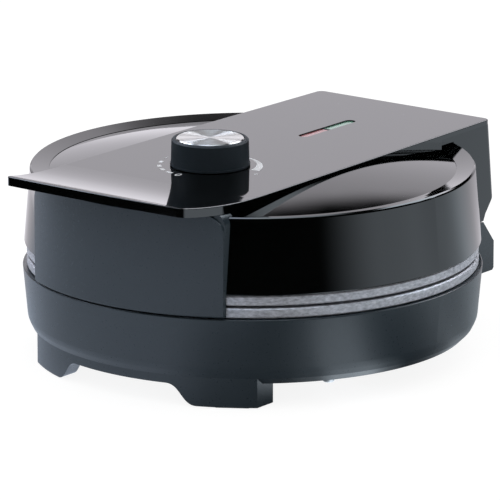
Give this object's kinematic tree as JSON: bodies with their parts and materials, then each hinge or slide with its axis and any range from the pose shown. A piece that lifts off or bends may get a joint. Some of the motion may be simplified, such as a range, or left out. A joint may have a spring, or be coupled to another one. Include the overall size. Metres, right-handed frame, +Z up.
{
  "type": "heart waffle maker",
  "caption": "Round countertop waffle maker with heart plates, a hinged lid, a wide strap that curls into a front lip, a dial knob and pilot lamps.",
  "frame": {"origin": "on the table under the feet, at the middle of the whole object seen from above", "axes": "+Z up; -Y towards the lip and the dial, +Y towards the hinge; +X to the right seen from the lip"},
  "size_m": [0.2218, 0.2549, 0.1113],
  "materials": {
    "housing": "polished",
    "cover": "fine texture",
    "pad": "matte",
    "plate": "cast, satin",
    "knob_side": "satin",
    "knob_face": "spun",
    "steel": "plain",
    "element": "heat tinted",
    "shield": "rolled sheet",
    "gland": "matte",
    "ceramic": "plain",
    "holder": "plain",
    "red": "clear tint",
    "green": "clear tint",
    "lamp_glass": "clear",
    "fuse": "plain"
  },
  "bodies": {
    "base": {"base_shell": "housing", "bottom_cover": "cover", "bottom_cover_screws": "steel", "foot_pads": "pad", "lower_plate": "plate", "lower_plate_screws": "steel", "lower_heating_element": "element", "lower_heat_shield": "shield", "base_hinge_block": "housing", "base_hinge_screws": "steel", "hinge_pin": "steel", "cord_gland": "gland", "terminal_block": "ceramic", "thermal_fuse": "fuse"},
    "lid": {"lid_shell": "housing", "top_strap": "housing", "strap_screws": "steel", "front_panel": "housing", "front_panel_screws": "steel", "lid_hinge_block": "housing", "lid_hinge_screws": "steel", "upper_plate": "plate", "upper_plate_screws": "steel", "upper_heating_element": "element", "upper_heat_shield": "shield", "thermostat": "ceramic", "thermostat_bracket": "steel", "red_lens": "red", "green_lens": "green", "lamp_holder": "holder", "neon_lamps": "lamp_glass"},
    "knob": {"control_knob": "knob_side", "knob_cap": "knob_face", "thermostat_shaft": "steel"}
  },
  "joints": [
    {"name": "lid_hinge", "type": "hinge", "parent": "base", "child": "lid", "pos_m": [0, 0.11825, 0.04675], "axis": [-1, 0, 0], "range_deg": [0, 100]},
    {"name": "knob_turn", "type": "hinge", "parent": "lid", "child": "knob", "pos_m": [0, -0.03535, 0.09825], "axis": [0, 0, -1], "range_deg": [0, 270]}
  ]
}
